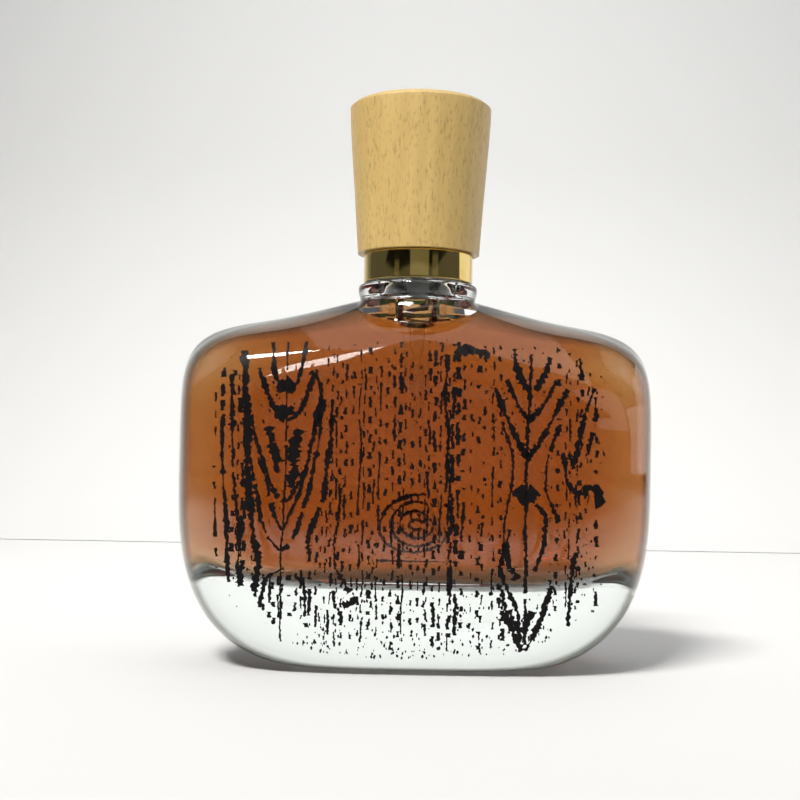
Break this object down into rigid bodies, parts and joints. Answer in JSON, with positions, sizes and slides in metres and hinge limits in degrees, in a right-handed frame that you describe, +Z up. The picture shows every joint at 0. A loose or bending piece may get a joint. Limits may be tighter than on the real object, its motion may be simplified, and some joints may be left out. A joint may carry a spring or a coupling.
{
  "type": "glass fragrance bottle with spray pump and wooden cap",
  "caption": "Squat clear glass fragrance flacon with a thick base, crimped spray pump, gold collar and tapered turned wooden cap.",
  "frame": {"origin": "middle of the base, on the surface that the bottle stands on", "axes": "+Z up along the neck and the pump, +X along the bottle's width, -Y out of the decorated broad face"},
  "size_m": [0.0966, 0.0374, 0.115],
  "materials": {
    "clear_glass": "clear flint glass, fire polished",
    "amber_fragrance": "clear amber-brown liquid",
    "white_rubber": "soft matt elastomer",
    "ferrule_aluminium": "bright drawn aluminium",
    "natural_plastic": "natural milky polypropylene",
    "polished_gold": "mirror polished, gold anodised aluminium",
    "clear_tube": "clear extruded tube",
    "spring_steel": "bright drawn stainless wire",
    "beech": "pale beech, sanded and satin lacquered"
  },
  "bodies": {
    "flacon": {"glass_bottle": "clear_glass", "fragrance": "amber_fragrance", "neck_gasket": "white_rubber", "ferrule": "ferrule_aluminium", "collar_liner": "natural_plastic", "collar": "polished_gold", "pump_housing": "natural_plastic", "turret": "natural_plastic", "stem_seal": "white_rubber", "dip_tube": "clear_tube", "pump_spring": "spring_steel"},
    "stem": {"stem": "natural_plastic", "piston": "natural_plastic", "valve_pin": "natural_plastic"},
    "button": {"button_shell": "polished_gold", "spray_button": "natural_plastic", "nozzle_insert": "natural_plastic"},
    "ball": {"inlet_ball": "clear_glass"},
    "cap": {"wood_cap": "beech", "cap_liner": "natural_plastic"}
  },
  "joints": [
    {"name": "cap_lift", "type": "slide", "parent": "flacon", "child": "cap", "axis": [0, 0, 1], "range_m": [0, 0.04]},
    {"name": "pump_press", "type": "slide", "parent": "flacon", "child": "stem", "axis": [0, 0, -1], "range_m": [0, 0.0036], "stiffness_N_per_m": 1200, "springref_m": -0.005, "deforming": ["pump_spring"]},
    {"name": "nozzle_turn", "type": "hinge", "parent": "stem", "child": "button", "pos_m": [0, 0, 0.0969], "axis": [0, 0, 1], "continuous": true},
    {"name": "ball_lift", "type": "slide", "parent": "flacon", "child": "ball", "axis": [0, 0, 1], "range_m": [0, 0.0006]}
  ]
}
